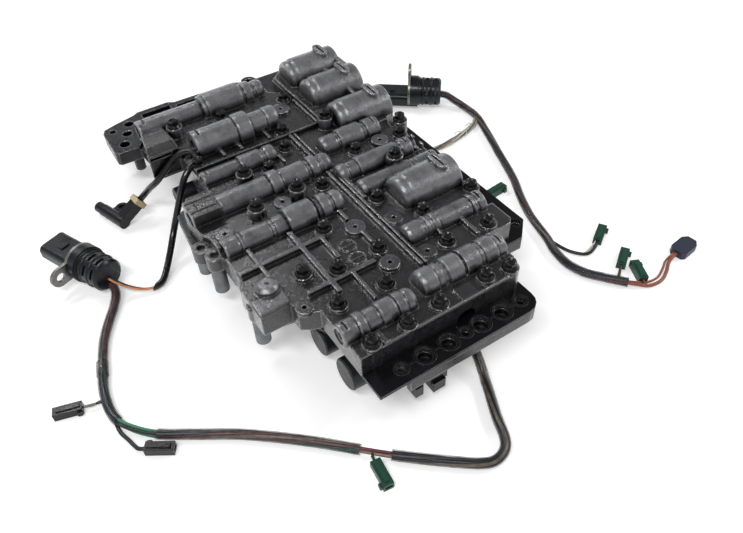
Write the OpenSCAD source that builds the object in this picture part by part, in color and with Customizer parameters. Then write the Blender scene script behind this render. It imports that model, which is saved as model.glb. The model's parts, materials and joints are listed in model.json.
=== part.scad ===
// Transmission valve body: two upper castings with stepped valve barrels and accumulators,
// a bonded separator stack, a lower casting with solenoids, a bottom cover and two free wiring looms.
// Millimetres, +Z up. The origin is on the resting plane under the middle of the footprint.

/* [Footprint] */
// Width of the footprint, along the valve bores
body_w = 249; // [247:1:258]
// Length of the footprint
body_l = 425; // [423:1:438]

/* [Stack heights] */
// Height of the bottom cover
cover_h = 10; // [8:0.5:14]
// Height of the lower casting
lower_h = 32; // [31:0.5:36]
// Thickness of one bonded gasket layer
gasket_t = 0.8; // [0.5:0.1:1.2]
// Thickness of the steel separator plate
plate_t = 1.4; // [1:0.1:2]
// Depth of the upper castings below their floor
deck_h = 19; // [18:0.5:23]

/* [Valve barrels] */
// Wall of the valve barrels outside their bores
barrel_wall = 2.8; // [2.4:0.1:3.2]
// Gap left round every moving piece
run_clr = 0.3; // [0.25:0.05:0.4]
// Stroke of the spools
spool_stroke = 6; // [3:0.5:7]
// Length of a spool spring at rest
spring_l = 15; // [14:0.5:18]
// Wire diameter of the spool springs
spring_wire = 1.2; // [0.8:0.1:1.4]
// Length of the bore plugs
plug_l = 7; // [5:0.5:9]
// Thickness of the retaining clips
clip_t = 1.6; // [1.2:0.1:2]

/* [Accumulators] */
// Bore radius of the accumulators
acc_bore_r = 14.2; // [13:0.1:14.6]
// Wall of the accumulator barrels
acc_wall = 4.2; // [3.5:0.1:4.4]
// Stroke of the accumulator pistons
acc_stroke = 10; // [6:0.5:11]
// Length of an accumulator piston
piston_l = 13; // [11:0.5:14]
// Wire diameter of the accumulator springs
acc_wire = 2.2; // [1.6:0.1:2.4]

/* [Fasteners] */
// Thread diameter of the body bolts
bolt_d = 5.8; // [5:0.1:6.2]
// Gap round the bolts in their holes
bolt_clr = 0.3; // [0.2:0.05:0.5]
// Diameter of the bolt flanges
flange_d = 12.6; // [11:0.1:12.8]
// Height of the bolt hexes above their flanges
hex_h = 5; // [4:0.5:7]

/* [Solenoids] */
// Diameter of the solenoid cans
can_d = 26; // [22:0.5:26.5]
// Length of the solenoid cans
can_l = 27; // [22:0.5:28]
// Diameter of the solenoid noses
nose_d = 12; // [9:0.5:14]
// Diameter of the small solenoid in the left notch
small_can_d = 19; // [16:0.5:20]

/* [Looms] */
// Diameter of the main looms
loom_d = 8; // [6:0.5:9]
// Diameter of the sensor lead
lead_d = 5; // [4:0.5:6]
// Diameter of the branch that enters the body
branch_d = 6; // [5:0.5:7]
// Diameter of the branch wires
wire_d = 3; // [2:0.5:3.5]
// Diameter of the round connector bodies
conn_d = 29; // [28:0.5:32]

/* [Hidden] */
$fn = 48;
kx = body_w / 249;
ky = body_l / 425;
mid_x = 11.5;
mid_y = -85.5;
function X(x) = (x + mid_x) * kx;
function Y(y) = (y + mid_y) * ky;
function at(p) = [X(p[0]), Y(p[1])];
function outline(pts) = [for (p = pts) at(p)];

z_lower = cover_h;
z_gasket = z_lower + lower_h;
z_plate = z_gasket + gasket_t;
z_gasket2 = z_plate + plate_t;
z_deck = z_gasket2 + gasket_t;
z_floor = z_deck + deck_h;

bolt_r = bolt_d / 2;
hole_r = bolt_r + bolt_clr;
flange_r = flange_d / 2;
flange_t = 1.6;
hex_r = flange_r * 0.8;
boss_r = flange_r + 0.9;
seat_h = 2;
flange_h = 10;
seam = 0.6;
eps = 0.5;

// Outlines, corner by corner
left_pts = [[-84, -105.5], [50, -105.5], [59, -98], [63, -90], [62, -61.3], [1.7, -61.3], [1.7, 77.7], [10, 77.7],
    [10, 101], [1.7, 101], [1.7, 143.5], [32.7, 143.5], [32.7, 212], [20, 224], [20, 245], [-108, 245],
    [-120, 181.6], [-93, 181.6], [-93, 118], [-113, 118], [-121, 104], [-121, 70], [-117, 60],
    [-117, 8], [-122, -2], [-122, -36], [-98, -36], [-98, -46], [-92, -50], [-84, -54]];
right_pts = [[2.3, -60.7], [86, -60.7], [90, -56], [90, 118], [100, 122], [100, 252], [46, 252],
    [33.3, 240], [33.3, 142.9], [2.3, 142.9], [2.3, 101.6], [10.6, 101.6], [10.6, 77.1], [2.3, 77.1]];
plate_pts = [[-83, -127], [50, -127], [55, -126], [59, -123], [61.3, -119], [62, -114], [62, -64],
    [98, -64], [113, -49], [113, 246],
    [30, 246], [-106, 246], [-117, 184], [-92, 184], [-92, 118], [-110, 116], [-110, -24], [-96, -30],
    [-83, -58]];
flange_pts = [[-58, -127], [50, -127], [55, -126], [59, -123], [61.3, -119], [62, -114], [62, -64],
    [98, -64], [113, -49], [113, 276],
    [104, 285], [22, 285], [11, 292], [-55, 294], [-62, 298], [-94, 298], [-99, 295], [-120, 290],
    [-132, 286], [-135, 280], [-136, 243], [-133.5, 240], [-113, 239], [-112, 238], [-110, 208], [-86, 206],
    [-86, 132], [-116, 131], [-122, 127], [-127, 86], [-123, 74], [-110, 70], [-110, -24], [-58, -34]];
rail_pts = [[22, 285], [11, 292], [-55, 294], [-62, 298], [-94, 298], [-99, 295], [-120, 290], [-132, 286],
    [-135, 280], [-136, 243], [-133.5, 240], [-113, 239], [-108, 247], [112, 247], [112, 276], [104, 284]];
tongue_pts = [[-75, -118], [-50, -118], [-50, -30], [-75, -40]];
core_pts = [[-58, -106], [48, -106], [52, -60], [85, -56], [85, 240], [70, 262], [-92, 262], [-92, 240],
    [-80, 236], [-80, 112], [-98, 100], [-98, -2], [-58, -6]];
cover_pts = [[-48, -96], [40, -96], [46, -52], [76, -46], [76, 236], [60, 252], [-72, 252], [-72, 110],
    [-90, 98], [-90, 6], [-48, 0]];

// One row per valve: centre y, axis height, bore radius, open end x, clip depth, step places and step heights.
// The bore opens at the first place when open_low is 1, or at the last place.
rows = [
    [-81.5, 1, 6.2, 1, 4, [-86, -73, -66, -55, -33, -24], [0.4, 1.6, 0.2, 1.2, 0.7]],
    [40, 1, 6.6, 1, 15, [-115, -102, -75, -72, -61, -34, -31, -22, -19, -9],
        [0, 0.4, 0, 0.4, 3.6, 1, 2.8, 0.2, 1.4]],
    [89, 1, 7.2, 1, 6, [-121, -97, -50, -40, -15, -12, -4, -1, 9], [0.4, 1, 3, 1.3, 0, 2, 0, 0.6]],
    [128.7, 1, 5.2, 1, 4, [-93, -58, -37, -34, -23], [0, 1.8, 0.4, 1.6]],
    [174.5, 5.4, 6.8, 1, 5, [-80, -40, -26, -10, 3], [3.8, 5.6, 1.4, 2]],
    [231.5, 1, 7, 1, 6, [-112, -49, -45, -8, -5, 4, 7, 17], [0.4, 4.2, 5.2, 1.2, 2.4, 0, 0.8]],
    [-75, 1, 7.4, 0, 4, [-16, -2, 7, 37, 41, 53, 62], [1.4, 0.8, 1.8, 0.6, 1.6, 0]],
    [109.5, 1, 7, 0, 4, [12, 28, 30, 54, 58, 72], [0.4, 0, 2, 0, 1.4]],
    [66.8, 1, 6.2, 0, 4, [3.5, 13, 23, 64, 67, 78], [1, 0.2, 1.6, 0, 1.2]],
    [41, 0, 4.4, 0, 4, [9, 62, 66, 88], [2.2, 1.6, 1.4]],
    [-27.5, 1, 6.4, 0, 4, [6, 22, 25, 28, 31, 37, 69, 72, 75, 82], [0.8, 0, 0.7, 0, 0.7, 0.2, 1.4, 0, 1.2]]
];
left_rows = [0, 1, 2, 3, 4, 5, 6];
right_rows = [7, 8, 9, 10];
end_wall = 4;
function row_y(i) = Y(rows[i][0]);
function row_z(i) = z_floor + rows[i][1];
function row_r(i) = rows[i][2];
function row_low(i) = X(rows[i][5][0]);
function row_high(i) = X(rows[i][5][len(rows[i][5]) - 1]);
function bore_l(i) = row_high(i) - row_low(i) - end_wall;
function clip_s(i) = rows[i][4];
function plug_s(i) = clip_s(i) + clip_t;
function seat_s(i) = plug_s(i) + plug_l;
function spool_s(i) = seat_s(i) + spring_l;
function spool_l(i) = bore_l(i) - run_clr - spool_s(i);

// Accumulators: centre y, closed end x, open end x
accs = [[231.8, 44, 100], [189.2, 44, 100], [139, 44, 100], [15.5, 28, 85]];
acc_z = z_floor + 1.5;
acc_r = acc_bore_r + acc_wall;
key_in = 13;
key_t = 2;
cap_l = 6;
acc_neck = 8;
lug_y = 6.5;
lug_r = 4.4;
lug_h = 7.6;
function acc_l(i) = X(accs[i][2]) - X(accs[i][1]);
function acc_seat(i) = key_in + key_t + cap_l;
function acc_bore_l(i) = acc_l(i) - 5;
function acc_spring_l(i) = acc_bore_l(i) - run_clr - piston_l - acc_seat(i) + piston_cup;
piston_cup = 9;

// Bolts: place and seat height over the floor
left_bolts = [[-41, -99, 0], [-12, -97, 0], [31, -95.6, 0], [51.5, -98.5, 0], [-32, -60, 0], [-53, -27, 0],
    [-16, -26, 0], [-77, -17, 1], [-39, 17, 0], [-74, 62, 8], [-35, 65, 8], [-12, 64, 0], [-62.5, 107, 8.5],
    [-38, 110, 0], [-12, 129, 0], [-2, 153, 0], [-86, 152, 0], [-38, 207, 0], [-84, 208, 8], [25, 200, 0]];
tongue_bolts = [[-71, -99.4, 0], [-71, -57, 0]];
right_bolts = [[36, 139, 9], [37, 89, 0], [96, 105.5, 0], [83, 87, 0], [54, 52.6, 9.5],
    [16, 24, 0], [37, -11, 0], [87, -10, 0], [70, -52, 0], [31, -50, 0]];

// Pads with a small centre hole: place, radius and height
left_pads = [[-18, 4, 8.4, 3], [-18, -44, 8, 3], [-106, 56, 7.5, 3], [-50, 64, 7.5, 3], [14, 186, 8.5, 3],
    [-92, -45, 7, 1.5], [-105, 108, 7, 1.5]];
right_pads = [[13, -49, 7.6, 1.5], [14, -3, 7.6, 1.5], [62, 88, 8, 4], [72, 211.5, 6, 3]];
pad_hole_r = 1.7;

// Posts under the left ears: place and drop below the ear
posts = [[-125, 63, 13], [-120, 49.4, 26], [-116.4, -16, 27.5]];
ear_r = 7.5;
post_r = 6;
spigot_r = 3.5;
spigot_l = 8;
ear_t = 12;

// Floor ribs: from corner to corner
rib_h = 4;
left_ribs = [[-116, 7, -44, 11], [-84, -38, -26, -34.6], [-101, -34, -98, 29], [-66, -48, -62, 28],
    [-48, -18, -45, 8], [-48, -68, -45, -37], [-18, -19, -15, -3], [-20, 14, -17, 28], [-1.6, -60, 1.2, 76.5],
    [-1.6, 102, 1.2, 142], [-63, 149, -60, 164], [-46, 149, -43, 164], [-18, 149, -15, 166],
    [-92, 143.6, 32, 145.4], [30, 146, 32.4, 192], [-24, 110, -21.5, 141]];
right_ribs = [[2.8, -60, 5.2, 76], [2.8, 103, 5.2, 141], [31, -44, 33, -37], [54, -58, 57, -36],
    [6, 29, 9, 60], [34, 146, 36.4, 238], [80, 58, 83, 78]];

// Ports of the front shelf: place and radius
ports = [[-58, -115.5, 3.2], [-38, -115.5, 5.6], [-17, -115.5, 5.6], [-2, -115.5, 3.2], [12, -115.5, 5.6],
    [32, -115.5, 5.6], [50, -115.5, 3.2]];
port_deep = 6;
// Holes of the rear rail: place and radius
rail_holes = [[-108, 283, 4.8], [-115, 268, 4.8], [-123, 252, 5.2]];
// Case bolt holes: place
case_holes = [[-126, 279], [26, 286], [105, -48]];
case_r = 3.3;

// Solenoids: face x and centre y
left_face = -58;
right_face = 85;
notch_face = -80;
left_sol_y = [-45.5, -83.5];
notch_sol_y = 169;
stem_r = 4;
notch_sol_z = z_gasket - flange_h - stem_r - 0.4;
small_can_l = 22;
stem_in = 8;
stem_out = 7;
right_sol_y = [-22, 16, 54, 92];
left_sol_z = z_gasket - 6.5 - can_d / 2;
right_sol_z = z_gasket - 12 - can_d / 2;
nose_l = 26;
neck_l = 2.4;
neck_r = 9;
clamp_t = 2;
sol_clr = 0.3;

// Route points of the looms, at the height of their own radius unless stated
loom_r = loom_d / 2;
lead_r = lead_d / 2;
wire_r = wire_d / 2;

function unit(v) = v / norm(v);
function tangent(p, i) = unit(p[min(i + 1, len(p) - 1)] - p[max(i - 1, 0)]);
function side_of(t) = unit(cross(t, abs(t[2]) > 0.9 ? [1, 0, 0] : [0, 0, 1]));

// A cord swept along its route points
module cord(p, r, n) {
    last = len(p) - 1;
    points = [for (i = [0:last])
        let (t = tangent(p, i), u = side_of(t), v = cross(u, t))
        for (k = [0:n - 1]) p[i] + r * (cos(360 * k / n) * u + sin(360 * k / n) * v)];
    walls = [for (i = [0:last - 1]) for (k = [0:n - 1])
        [i * n + k, i * n + (k + 1) % n, (i + 1) * n + (k + 1) % n, (i + 1) * n + k]];
    start = [for (k = [n - 1:-1:0]) k];
    stop = [for (k = [0:n - 1]) last * n + k];
    polyhedron(points, concat(walls, [start, stop]), convexity = 10);
}

// A coil spring along +Z from 0 to l
module coil(l, r, wire, turns) {
    steps = turns * 9;
    w = wire / 2;
    rise = (l - 2 * w) / steps;
    path = [for (i = [0:steps]) [r * cos(40 * i), r * sin(40 * i), w + rise * i]];
    n = 4;
    points = [for (i = [0:steps]) for (k = [0:n - 1])
        let (out = [cos(40 * i), sin(40 * i), 0])
        path[i] + w * (cos(90 * k) * out + sin(90 * k) * [0, 0, 1])];
    walls = [for (i = [0:steps - 1]) for (k = [0:n - 1])
        [i * n + k, (i + 1) * n + k, (i + 1) * n + (k + 1) % n, i * n + (k + 1) % n]];
    start = [for (k = [0:n - 1]) k];
    stop = [for (k = [n - 1:-1:0]) steps * n + k];
    polyhedron(points, concat(walls, [start, stop]), convexity = 10);
}

// Children with local +Z running into valve bore i from its open end
module into_bore(i) {
    if (rows[i][3] == 1) translate([row_low(i), row_y(i), row_z(i)]) rotate([0, 90, 0]) children();
    else translate([row_high(i), row_y(i), row_z(i)]) rotate([0, -90, 0]) children();
}

// Children with local +Z running into accumulator i from its open end
module into_acc(i) {
    translate([X(accs[i][2]), Y(accs[i][0]), acc_z]) rotate([0, -90, 0]) children();
}

// Outside of a valve barrel, stepped along its length, each step eased by two chamfers
step_ease = 1.4;
end_ease = 4;
module barrel(i) {
    xs = rows[i][5];
    steps = rows[i][6];
    n = len(steps);
    base = row_r(i) + barrel_wall;
    low_dome = rows[i][3] == 1 ? 0 : 1;
    pts = concat([[0, X(xs[0])]],
        [for (k = [0:n - 1]) let (r = base + steps[k], a = X(xs[k]), b = X(xs[k + 1]),
            c = min(step_ease, 0.3 * (b - a)), ca = k == 0 && low_dome == 1 ? end_ease : c,
            cb = k == n - 1 && low_dome == 0 ? end_ease : c, da = 0.3 * ca, db = 0.3 * cb)
            each [[r - ca, a], [r - da, a + da], [r, a + ca], [r, b - cb], [r - db, b - db], [r - cb, b]]],
        [[0, X(xs[n])]]);
    translate([0, row_y(i), row_z(i)]) rotate([0, 90, 0]) rotate_extrude() polygon(pts);
}

// Bore of a valve, with the slot of its clip and its way out through the floor
module bore(i) {
    into_bore(i) {
        translate([0, 0, -30]) cylinder(r = row_r(i), h = 30 + bore_l(i));
    }
    clip_cut(i, 0.02, 30);
}

// Plate that crosses a valve bore behind its plug, grown by g
module clip_cut(i, g, up) {
    w = row_r(i) * 1.3;
    s = rows[i][3] == 1 ? row_low(i) + clip_s(i) : row_high(i) - clip_s(i) - clip_t;
    translate([s, row_y(i) - w / 2 - g, row_z(i) - row_r(i) * 0.5])
        cube([clip_t, w + 2 * g, row_r(i) * 0.5 + up]);
}

module acc_barrel(i) {
    a = X(accs[i][1]);
    b = X(accs[i][2]);
    c = 1;
    pts = [[0, a], [acc_r - 5, a], [acc_r - 2.4, a + 1], [acc_r - 1, a + 3.4], [acc_r - 1, a + acc_neck],
        [acc_r, a + acc_neck + 1.4], [acc_r, b - c], [acc_r - c, b], [0, b]];
    translate([0, Y(accs[i][0]), acc_z]) rotate([0, 90, 0]) rotate_extrude($fn = 64) polygon(pts);
    translate([b - key_in - key_t / 2, Y(accs[i][0]), acc_z + acc_r - 6]) {
        for (k = [-1, 1]) translate([0, k * lug_y, 0]) cylinder(r = lug_r, h = lug_h);
        translate([-lug_r, -lug_y, 0]) cube([2 * lug_r, 2 * lug_y, lug_h]);
    }
}

module acc_cut(i) {
    b = X(accs[i][2]);
    into_acc(i) translate([0, 0, -20]) cylinder(r = acc_bore_r, h = 20 + acc_bore_l(i));
    key_box(i, 0.02, 30);
}

module key_box(i, g, up) {
    w = 17;
    translate([X(accs[i][2]) - key_in - key_t, Y(accs[i][0]) - w / 2 - g, acc_z + acc_bore_r - 6])
        cube([key_t, w + 2 * g, up]);
}

// A rib box between two corners, standing on the floor
module rib(q, h) {
    a = at([q[0], q[1]]);
    b = at([q[2], q[3]]);
    translate([a[0], a[1], z_floor - eps]) cube([b[0] - a[0], b[1] - a[1], h + eps]);
}

module slab(pts, z, h) {
    translate([0, 0, z]) linear_extrude(height = h) polygon(outline(pts));
}

module holes_at(list, r, z, h) {
    for (p = list) translate([X(p[0]), Y(p[1]), z]) cylinder(r = r, h = h);
}

// Bolt bosses and pads of a casting
module bosses(bolts, pads) {
    for (b = bolts) translate([X(b[0]), Y(b[1]), z_floor - deck_h])
        cylinder(r = boss_r, h = deck_h + seat_h + b[2]);
    for (p = pads) translate([X(p[0]), Y(p[1]), z_floor - 2]) cylinder(r = p[2], h = p[3] + 2);
}

module pad_holes(pads) {
    for (p = pads) translate([X(p[0]), Y(p[1]), z_floor + p[3] - 6]) cylinder(r = pad_hole_r, h = 8);
}

// Oil tracks in the underside of a casting: corner, corner and depth
module tracks(list, d) {
    for (q = list) let (a = at([q[0], q[1]]), b = at([q[2], q[3]]))
        translate([a[0], a[1], z_deck - 1]) cube([b[0] - a[0], b[1] - a[1], d + 1]);
}

track_d = 8;
left_tracks = [[-112, -30, -86, -8], [-60, -50, -38, -34], [-60, -14, -24, 6], [-110, 12, -80, 30],
    [-84, 40, -48, 50], [-108, 76, -78, 96], [-56, 82, -22, 98], [-52, 122, -20, 138], [-82, 164, -50, 180],
    [-40, 166, -8, 184], [-70, 224, -20, 238], [-104, 226, -84, 238], [-30, -92, 20, -84]];
right_tracks = [[12, -42, 26, -20], [44, -44, 60, -20], [50, 72, 74, 80], [22, 106, 60, 122], [12, 46, 40, 60]];
ball_r = 3;
balls = [[-70, -82], [-100, 62], [-20, 40], [-62, 146], [8, 178], [70, -30], [12, 90]];

module ball_pockets() {
    for (p = balls) translate([X(p[0]), Y(p[1]), z_deck - 1]) cylinder(r = ball_r + 1, h = 2 * ball_r + 2.5);
}

// Upper castings, the left one with an arch in its front wall
arch_at = 6.7;
arch_r = 9;
arch_deep = 11;
module left_valve_body() color([0.32, 0.32, 0.32]) difference() {
    union() {
        slab(left_pts, z_deck, deck_h);
        for (i = left_rows) barrel(i);
        bosses(concat(left_bolts, tongue_bolts), left_pads);
        for (q = left_ribs) rib(q, rib_h);
        for (p = posts) translate([X(p[0]), Y(p[1]), z_deck]) cylinder(r = ear_r, h = ear_t);
        for (p = posts) translate([X(p[0]), Y(p[1]) - ear_r, z_deck]) cube([ear_r + 6, 2 * ear_r, ear_t]);
        end_block();
        rear_block();
        dome_box();
        date_mark(-33, -9);
        date_mark(-34, -24.6);
        front_lip();
    }
    for (i = left_rows) bore(i);
    holes_at(concat(left_bolts, tongue_bolts), hole_r, z_deck - 1, deck_h + 20);
    pad_holes(left_pads);
    holes_at(posts, spigot_r, z_deck - 1, ear_t + 2);
    tracks(left_tracks, track_d);
    ball_pockets();
    barrel_slots();
    holes_at([right_bolts[0]], boss_r + seam, z_deck - 1, deck_h + 20);
    translate([X(arch_at), Y(-105.5) - 1, z_deck]) rotate([-90, 0, 0]) cylinder(r = arch_r, h = arch_deep + 1);
}

// Ribbed square end of the third barrel
module end_block() {
    w = 22;
    h = 10.5;
    translate([X(-121.5), row_y(2) - w / 2, z_floor - eps]) cube([X(-97) - X(-121.5), w, h + eps]);
    for (k = [0:3]) translate([X(-121.5), row_y(2) - w / 2 + k * 6.2, z_floor + h - eps])
        cube([X(-98) - X(-121.5), 3.2, 0.8 + eps]);
}

// Sloped block at the rear left, with a slot in its front face
block_pts = [[-120, 181.6], [-92, 181.6], [-92, 244], [-108, 244]];
module rear_block() difference() {
    intersection() {
        slab(block_pts, z_floor - eps, 12);
        translate([X(-124), Y(181.6), z_floor - eps]) rotate([90, 0, 90]) linear_extrude(height = 40)
            polygon([[-1, 0], [-1, 5.5], [11, 9.5], [52, 4], [66, 1], [66, 0]]);
    }
    translate([X(-118.5), Y(181.6) - 1, z_floor + 0.8]) cube([20, 7, 2.6]);
}

// Box with a domed cap at the left edge
module dome_box() {
    translate([X(-121.5), Y(-35.5), z_floor - eps]) cube([23, 14, 4 + eps]);
    translate([X(-106), Y(-16), z_floor - 1]) cylinder(r = 10.5, h = 4);
    translate([X(-106), Y(-16), z_floor + 2]) cylinder(r = 8.8, h = 5);
    translate([X(-106), Y(-16), z_floor + 6.9]) cylinder(r1 = 8.8, r2 = 5.5, h = 2.2);
}

// Round mark with a bar across it
module date_mark(x, y) {
    translate([X(x), Y(y), z_floor - eps]) difference() {
        cylinder(r = 7.2, h = 1.2 + eps);
        translate([0, 0, eps]) cylinder(r = 5.6, h = 4);
    }
    translate([X(x) - 6, Y(y) - 0.7, z_floor - eps]) cube([12, 1.4, 1 + eps]);
}

// Raised edge along the front flange
module front_lip() {
    rib([-60, -105.2, 46, -103.4], 1.5);
    rib([-64, -105, -60.5, -92], 2);
    rib([3, -104, 18, -92], 1.2);
}

// Narrow grooves round the barrels where they were parted from their cores
module barrel_slots() {
    ring_cut(0, -42, 1.6, 1);
    ring_cut(1, -73.5, 2, 0.8);
    ring_cut(1, -37, 2.4, 1);
    ring_cut(6, 3, 3, 1);
    ring_cut(6, 20, 2.4, 1);
}

module ring_cut(i, x, w, d) {
    r = row_r(i) + barrel_wall;
    translate([X(x), row_y(i), row_z(i)]) rotate([0, 90, 0]) difference() {
        cylinder(r = r + 8, h = w);
        translate([0, 0, -1]) cylinder(r = r - d + 1, h = w + 2);
        translate([-0.5, -r - 10, -1]) cube([r + 20, 2 * r + 20, w + 2]);
    }
}

module right_valve_body() color([0.33, 0.33, 0.33]) difference() {
    union() {
        slab(right_pts, z_deck, deck_h);
        for (i = right_rows) barrel(i);
        for (i = [0:3]) acc_barrel(i);
        bosses(right_bolts, right_pads);
        for (q = right_ribs) rib(q, rib_h);
        acc_webs();
    }
    for (i = right_rows) bore(i);
    for (i = [0:3]) acc_cut(i);
    holes_at(right_bolts, hole_r, z_deck - 1, deck_h + 20);
    pad_holes(right_pads);
    tracks(right_tracks, track_d);
    ball_pockets();
}

// Short webs between neighbouring accumulators, and the end wall that joins the rear two
module acc_webs() {
    translate([X(95), Y(accs[1][0]), z_floor - eps]) cube([X(100) - X(95), Y(accs[0][0]) - Y(accs[1][0]), 15]);
    for (y = [206, 160]) translate([X(80), Y(y), z_floor - eps]) cube([3, 12 * ky, 9]);
    translate([X(88.5) - 2, Y(58), z_floor - eps]) cube([2, 18, 6]);
}

// Separator stack
module stack_holes(z, h, grow) {
    holes_at(concat(left_bolts, tongue_bolts, right_bolts), hole_r + grow, z, h);
    for (p = ports) translate([X(p[0]), Y(p[1]), z]) cylinder(r = p[2] + grow, h = h);
    for (p = [case_holes[2]]) translate([X(p[0]), Y(p[1]), z]) cylinder(r = case_r + 1.2, h = h);
}

module stack_layer(z, h, grow) {
    difference() {
        slab(plate_pts, z, h);
        stack_holes(z - 1, h + 2, grow);
    }
}

// Raised bead round the shelf ports and from one to the next
bead_w = 1.4;
bead_h = 0.7;
bead_gap = 1.4;
function bead_r(p) = p[2] + bead_gap + bead_w;
module port_beads() {
    for (p = ports) translate([X(p[0]), Y(p[1]), z_deck - gasket_t / 2]) difference() {
        cylinder(r = bead_r(p), h = bead_h + gasket_t / 2);
        translate([0, 0, -1]) cylinder(r = bead_r(p) - bead_w, h = bead_h + gasket_t + 1);
    }
    for (k = [0:len(ports) - 2]) let (p = ports[k], q = ports[k + 1], a = X(p[0]) + bead_r(p) - bead_w,
        b = X(q[0]) - bead_r(q) + bead_w)
        translate([a, Y(p[1]) - bead_w / 2, z_deck - gasket_t / 2]) cube([b - a, bead_w, bead_h + gasket_t / 2]);
}

module upper_gasket() color([0.05, 0.05, 0.055]) {
    stack_layer(z_gasket2, gasket_t, 0.4);
    port_beads();
}
module separator_plate() color([0.1, 0.1, 0.11]) stack_layer(z_plate, plate_t, 0);
module lower_gasket() color([0.05, 0.05, 0.055]) stack_layer(z_gasket, gasket_t, 0.4);

// Lower casting
tongue_h = 5;
lower_track_d = 15;
lower_tracks = [[-20, -84, 45, -64], [-8, -44, 20, -20], [-86, 0, -50, 50], [-28, 28, 4, 52], [26, 2, 44, 40],
    [56, -30, 76, 40], [0, 72, 26, 130], [48, 100, 76, 150], [-52, 120, -24, 190], [8, 152, 60, 188],
    [-70, 166, -60, 236], [-20, 170, 0, 240], [20, 213, 76, 236]];
module lower_valve_body() color([0.2, 0.2, 0.21]) difference() {
    union() {
        slab(flange_pts, z_gasket - flange_h, flange_h);
        slab(rail_pts, z_gasket - flange_h, z_deck - z_gasket + flange_h);
        slab(tongue_pts, z_gasket - tongue_h, tongue_h);
        slab(core_pts, z_lower, lower_h);
        translate([X(26), Y(286), z_gasket - flange_h]) cylinder(r = 8, h = z_deck - z_gasket + flange_h);
        translate([X(-116), Y(246), z_gasket - flange_h - 14]) cylinder(r = 5, h = 15);
        holes_at(concat(left_bolts, right_bolts), hole_r + 3.5, z_gasket - flange_h, flange_h);
    }
    for (q = lower_tracks) let (a = at([q[0], q[1]]), b = at([q[2], q[3]]))
        translate([a[0], a[1], z_gasket - lower_track_d]) cube([b[0] - a[0], b[1] - a[1], lower_track_d + 1]);
    holes_at(concat(left_bolts, tongue_bolts, right_bolts), hole_r, z_gasket - flange_h + 1, flange_h + 1);
    for (p = ports) translate([X(p[0]), Y(p[1]), z_gasket - port_deep]) cylinder(r = p[2], h = port_deep + 1);
    for (p = rail_holes) translate([X(p[0]), Y(p[1]), z_deck - 8]) cylinder(r = p[2], h = 9);
    for (p = case_holes) translate([X(p[0]), Y(p[1]), z_gasket - flange_h - 1]) cylinder(r = case_r, h = 20);
    translate([X(-92), Y(284), z_deck - 5]) cube([30, 8, 6]);
    translate([X(-56), Y(283.5), z_deck - 3]) cube([68 * kx, 4.5, 4]);
    left_nests() nose_hole(nose_d / 2, nose_l);
    right_nests() nose_hole(nose_d / 2, nose_l);
    notch_nest() nose_hole(stem_r, stem_in);
    holes_at(cover_bolts_at, hole_r, z_lower - 1, 14);
}

// Bottom cover, which the part rests on
cover_bolts_at = [[-24, -84], [30, -84], [66, -40], [66, 35], [66, 150], [54, 240], [-62, 240], [-62, 150],
    [-80, 88], [-80, 16]];
cover_seat = 7;
module bottom_cover() color([0.3, 0.3, 0.31]) difference() {
    slab(cover_pts, 0, cover_h);
    holes_at(cover_bolts_at, hole_r, -1, cover_h + 2);
    holes_at(cover_bolts_at, flange_r + 1.5, -1, cover_seat + 1);
    translate([X(0), Y(120), -1]) cylinder(r = 24, h = cover_h - 2);
    translate([X(0), Y(20), -1]) cylinder(r = 15, h = cover_h - 2);
}

// Flange bolt with a chamfered hex and a dished crown, its seat at height 0
hex_edge = 0.8;
dish_h = 1.2;
module bolt(shank) {
    top = flange_t + hex_h;
    translate([0, 0, -shank]) cylinder(r = bolt_r, h = shank + 0.5);
    cylinder(r = flange_r, h = flange_t / 2);
    translate([0, 0, flange_t / 2]) cylinder(r1 = flange_r, r2 = hex_r, h = flange_t);
    difference() {
        intersection() {
            cylinder(r = hex_r, h = top, $fn = 6);
            rotate_extrude() polygon([[0, 0], [hex_r, 0], [hex_r, top - hex_edge], [hex_r - 2 * hex_edge, top],
                [0, top]]);
        }
        translate([0, 0, top - dish_h]) cylinder(r1 = hex_r * 0.4, r2 = hex_r * 0.7, h = dish_h + 0.1);
    }
}

module body_bolts() color([0.07, 0.07, 0.075]) {
    for (b = concat(left_bolts, right_bolts)) translate([X(b[0]), Y(b[1]), z_floor + seat_h + b[2]])
        bolt(seat_h + b[2] + z_floor - z_gasket + flange_h - 2);
    for (b = tongue_bolts) translate([X(b[0]), Y(b[1]), z_floor + seat_h + b[2]])
        bolt(seat_h + b[2] + z_floor - z_gasket + tongue_h - 1);
}

module cover_bolts() color([0.07, 0.07, 0.075]) for (p = cover_bolts_at)
    translate([X(p[0]), Y(p[1]), cover_seat]) rotate([180, 0, 0]) bolt(cover_h - cover_seat + 11);

// Valves
module spool(i) color([0.62, 0.63, 0.64]) into_bore(i) {
    l = spool_l(i);
    r = row_r(i) - run_clr;
    stem = r * 0.55;
    lands = l > 60 ? 5 : (l > 36 ? 4 : 3);
    land = l * 0.55 / lands;
    gap = (l - lands * land) / (lands - 1);
    pts = concat([[0, 0]],
        [for (k = [0:lands - 1]) let (a = k * (land + gap))
            each [[k == 0 ? r : stem, a], [r, a], [r, a + land], [k == lands - 1 ? r : stem, a + land]]],
        [[0, l]]);
    clean = [for (k = [0:len(pts) - 1]) if (k == 0 || norm(pts[k] - pts[k - 1]) > 0.001) pts[k]];
    translate([0, 0, spool_s(i)]) rotate_extrude() polygon(clean);
}

module spool_springs() color([0.6, 0.61, 0.62]) for (i = [0:len(rows) - 1]) into_bore(i)
    translate([0, 0, seat_s(i)]) coil(spring_l - run_clr, row_r(i) - spring_wire / 2 - 0.6, spring_wire, 5);

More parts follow.
